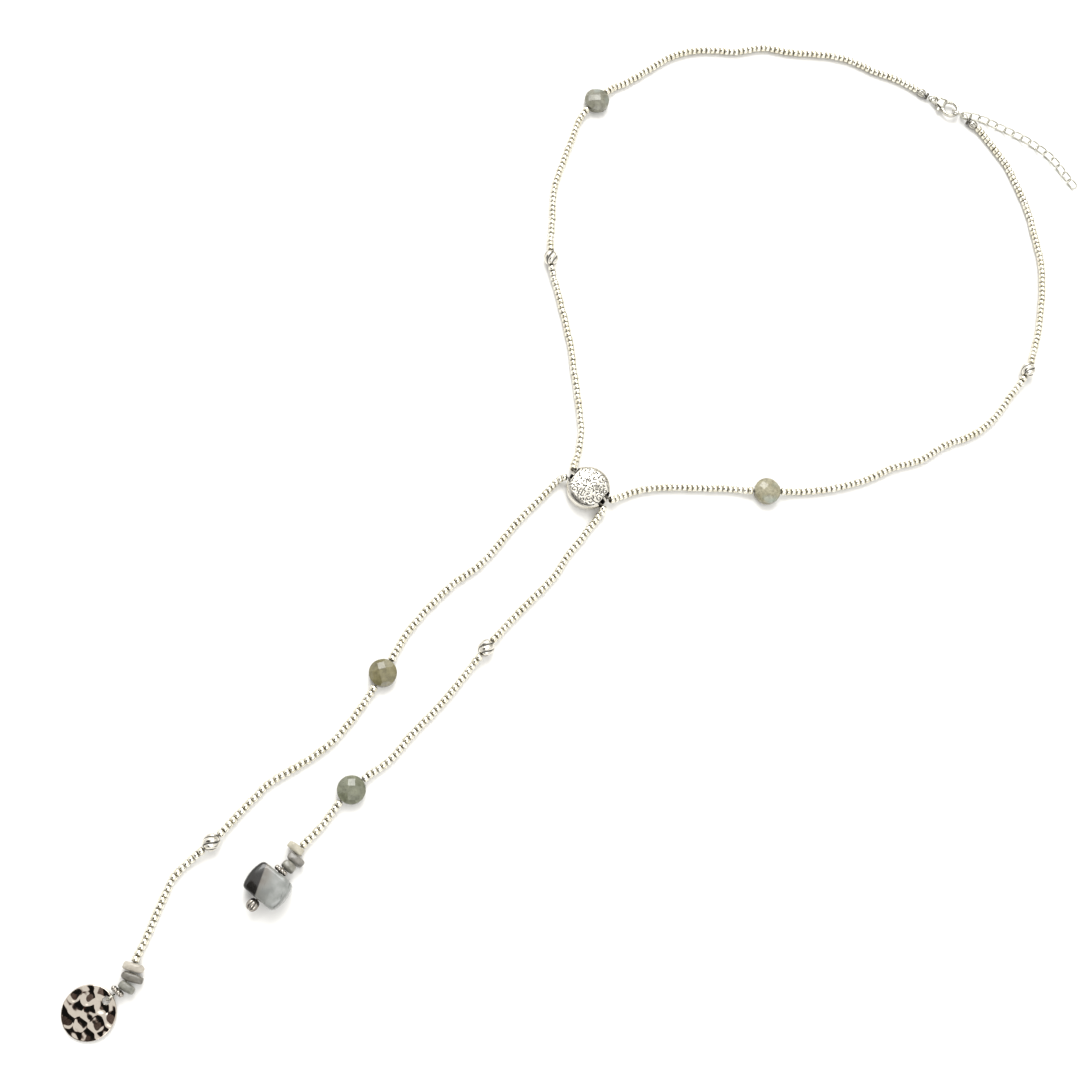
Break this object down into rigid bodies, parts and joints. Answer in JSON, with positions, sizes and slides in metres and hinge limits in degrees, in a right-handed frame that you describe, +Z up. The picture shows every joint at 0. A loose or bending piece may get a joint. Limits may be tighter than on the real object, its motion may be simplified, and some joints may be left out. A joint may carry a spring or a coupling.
{
  "type": "lariat necklace",
  "caption": "Lariat necklace of seed beads: a clasped neck loop and two drops of unequal length pass through a domed slider, with faceted coins, stone chips and a round pendant.",
  "frame": {"origin": "middle of the laid-out necklace's bounding box, on the surface it lies on", "axes": "+Y from the drop ends towards the clasp, +Z up from the surface, +X to the wearer's left side of the laid-out loop"},
  "size_m": [0.2098, 0.5116, 0.009],
  "materials": {
    "seed_beads": "metallic silver coat",
    "thread": "twisted",
    "labradorite": "polished facets",
    "swirl_silver": "polished with dark grooves",
    "oxidised_silver": "satin with dark recesses",
    "pale_chip": "tumbled",
    "dark_chip": "tumbled",
    "quartz": "polished, with dark needles",
    "gunmetal": "hammered and polished",
    "wire": "satin",
    "clasp_silver": "polished",
    "crimp_metal": "satin"
  },
  "bodies": {
    "necklace": {"neck_left_beads_1": "seed_beads", "neck_left_beads_2": "seed_beads", "neck_left_beads_3": "seed_beads", "neck_right_beads_1": "seed_beads", "neck_right_beads_2": "seed_beads", "neck_right_beads_3": "seed_beads", "drop_left_beads_1": "seed_beads", "drop_left_beads_2": "seed_beads", "drop_left_beads_3": "seed_beads", "drop_right_beads_1": "seed_beads", "drop_right_beads_2": "seed_beads", "drop_right_beads_3": "seed_beads", "neck_thread": "thread", "drop_thread": "thread", "coin_neck_left": "labradorite", "coin_neck_right": "labradorite", "coin_drop_left": "labradorite", "coin_drop_right": "labradorite", "swirl_neck_left": "swirl_silver", "swirl_neck_right": "swirl_silver", "swirl_drop_left": "swirl_silver", "swirl_drop_right": "swirl_silver", "slider_disc": "oxidised_silver", "chip_left_1": "pale_chip", "chip_left_2": "dark_chip", "chip_left_3": "dark_chip", "chip_right_1": "pale_chip", "chip_right_2": "dark_chip", "chip_right_3": "dark_chip", "spacer_left": "oxidised_silver", "spacer_right": "oxidised_silver", "pillow_bead": "quartz", "end_bead": "oxidised_silver", "hammered_disc": "gunmetal", "pendant_loop": "wire", "collar_bead_left": "clasp_silver", "crimp_left": "crimp_metal", "clasp_loop": "wire", "clasp_body": "clasp_silver", "jump_ring": "clasp_silver", "ring_loop": "wire", "crimp_right": "crimp_metal", "collar_bead_right": "clasp_silver", "extender_chain": "clasp_silver"},
    "clasp_lever": {"clasp_lever": "clasp_silver"}
  },
  "joints": [
    {"name": "clasp_lever_hinge", "type": "hinge", "parent": "necklace", "child": "clasp_lever", "pos_m": [-0.00773, 0.23507, 0.00193], "axis": [-0.05, -0.0125, 0.9987], "range_deg": [-22, 0], "stiffness_Nm_per_rad": 0.005, "springref_deg": 2.86}
  ]
}
